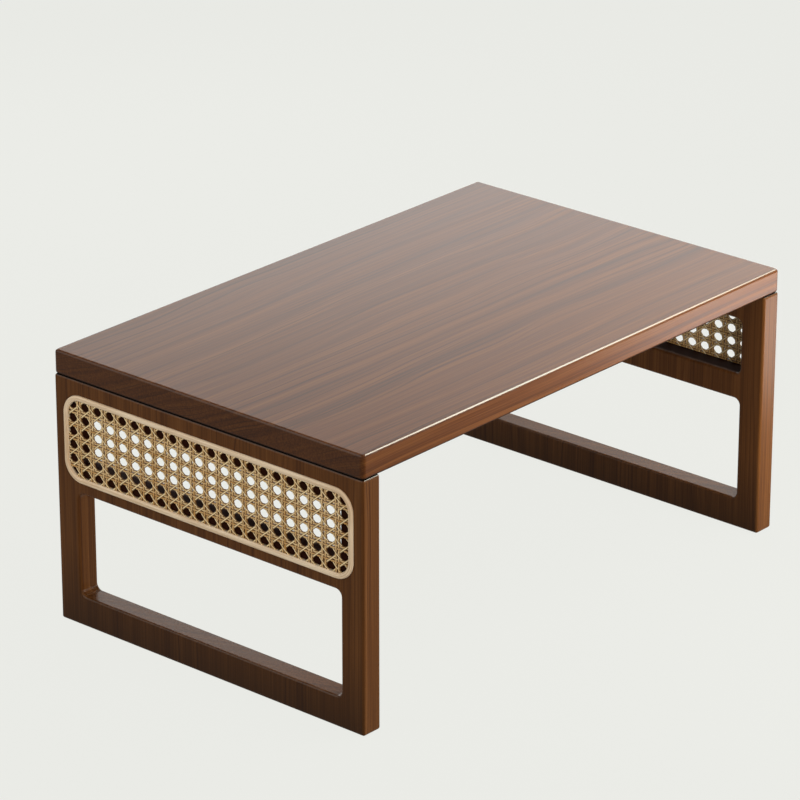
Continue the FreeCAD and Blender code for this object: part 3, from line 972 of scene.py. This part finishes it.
class LOWTABLE_OT_stage(bpy.types.Operator):
    """Sets the pale floor, the soft light and the camera"""

    bl_idname = "lowtable.stage"
    bl_label = "Studio"

    def execute(self, context):
        stage = context.scene.low_table_stage
        self.floor(stage)
        self.surround(stage)
        for lamp in LAMPS:
            soft_light(*lamp)
        self.camera(stage)
        context.scene.view_settings.view_transform = "Standard"
        return {"FINISHED"}

    def floor(self, stage):
        """A wide plain pale floor, clear from below so that the underside can be looked at."""
        reach = 12.0
        sunk = -0.2 * MILLIMETRE
        corners = [(-reach, -reach, sunk), (reach, -reach, sunk), (reach, reach, sunk), (-reach, reach, sunk)]
        mesh = bpy.data.meshes.new("studio_floor")
        mesh.from_pydata(corners, [], [(0, 1, 2, 3)])
        floor = new_object("studio_floor", mesh)
        material, tree, shader = new_material("painted_studio_floor", Roughness=0.9, Specular_IOR_Level=0.0)
        shader.inputs["Base Color"].default_value = stage.floor_paint
        path = add_node(tree, "ShaderNodeLightPath").outputs
        mirrored = add_node(
            tree, "ShaderNodeMath", {0: path["Is Camera Ray"], 1: path["Is Glossy Ray"]}, operation="MAXIMUM"
        ).outputs[0]
        seen = add_node(
            tree, "ShaderNodeMath", {0: mirrored, 1: path["Is Transmission Ray"]}, operation="MAXIMUM"
        ).outputs[0]
        share = add_node(tree, "ShaderNodeMath", {0: seen, 1: PALE_SHARE}, operation="MULTIPLY").outputs[0]
        glow = add_node(tree, "ShaderNodeEmission", {"Color": stage.floor_pale, "Strength": 1.0}).outputs[0]
        mixed = add_node(tree, "ShaderNodeMixShader", {0: share, 1: shader.outputs[0], 2: glow}).outputs[0]
        underneath = add_node(tree, "ShaderNodeNewGeometry").outputs["Backfacing"]
        clear = add_node(tree, "ShaderNodeBsdfTransparent").outputs[0]
        surface = add_node(tree, "ShaderNodeMixShader", {0: underneath, 1: mixed, 2: clear}).outputs[0]
        tree.links.new(surface, tree.nodes["Material Output"].inputs["Surface"])
        mesh.materials.append(material)

    def surround(self, stage):
        """A surround that is pale at the horizon and dimmer overhead."""
        world = bpy.data.worlds.new("studio_surround")
        world.use_nodes = True
        tree = world.node_tree
        background = tree.nodes["Background"]
        direction = add_node(tree, "ShaderNodeTexCoord").outputs["Generated"]
        height = add_node(tree, "ShaderNodeSeparateXYZ", {"Vector": direction}).outputs["Z"]
        strength = add_node(
            tree, "ShaderNodeMapRange",
            {"Value": height, "From Min": 0.1, "From Max": 0.35, "To Min": 0.9, "To Max": 0.3}
        ).outputs["Result"]
        background.inputs["Color"].default_value = stage.backdrop
        tree.links.new(strength, background.inputs["Strength"])
        bpy.context.scene.world = world

    def camera(self, stage):
        """The photograph's camera."""
        azimuth = stage.camera_azimuth
        elevation = stage.camera_elevation
        back = Vector((
            math.sin(azimuth) * math.cos(elevation),
            -math.cos(azimuth) * math.cos(elevation),
            math.sin(elevation),
        ))
        right = Vector((math.cos(azimuth), math.sin(azimuth), 0))
        up = back.cross(right)
        data = bpy.data.cameras.new("photo_camera")
        data.lens = stage.camera_lens
        data.sensor_width = 36.0
        camera = new_object("photo_camera", data)
        eye = Vector(stage.camera_target) + back * stage.camera_distance
        turn = Matrix((right, up, back)).transposed().to_4x4()
        camera.matrix_world = Matrix.Translation(eye) @ turn
        bpy.context.scene.camera = camera


OPERATORS = (
    LOWTABLE_OT_walnut,
    LOWTABLE_OT_cane,
    LOWTABLE_OT_reed,
    LOWTABLE_OT_fittings,
    LOWTABLE_OT_pads,
    LOWTABLE_OT_stage,
)


class LOWTABLE_PT_sidebar(bpy.types.Panel):
    """Lists the steps that dress the table"""

    bl_idname = "LOWTABLE_PT_sidebar"
    bl_label = "Low Folding Table"
    bl_space_type = "VIEW_3D"
    bl_region_type = "UI"
    bl_category = "Low Table"

    def draw(self, context):
        for operator in OPERATORS:
            self.layout.operator(operator.bl_idname)


GROUPS = {
    "low_table_wood": LowTableWood,
    "low_table_cane": LowTableCane,
    "low_table_fittings": LowTableFittings,
    "low_table_stage": LowTableStage,
}


def register():
    """Registers the settings, the operators and the panel."""
    for name, group in GROUPS.items():
        bpy.utils.register_class(group)
        setattr(bpy.types.Scene, name, PointerProperty(type=group))
    for item in (*OPERATORS, LOWTABLE_PT_sidebar):
        bpy.utils.register_class(item)


def unregister():
    """Takes them away again."""
    for item in (LOWTABLE_PT_sidebar, *reversed(OPERATORS)):
        bpy.utils.unregister_class(item)
    for name, group in GROUPS.items():
        delattr(bpy.types.Scene, name)
        bpy.utils.unregister_class(group)


def main():
    """Dresses the table piece by piece."""
    register()
    bpy.ops.lowtable.walnut()
    bpy.ops.lowtable.cane()
    bpy.ops.lowtable.reed()
    bpy.ops.lowtable.fittings()
    bpy.ops.lowtable.pads()
    bpy.ops.lowtable.stage()


if __name__ == "__main__":
    main()
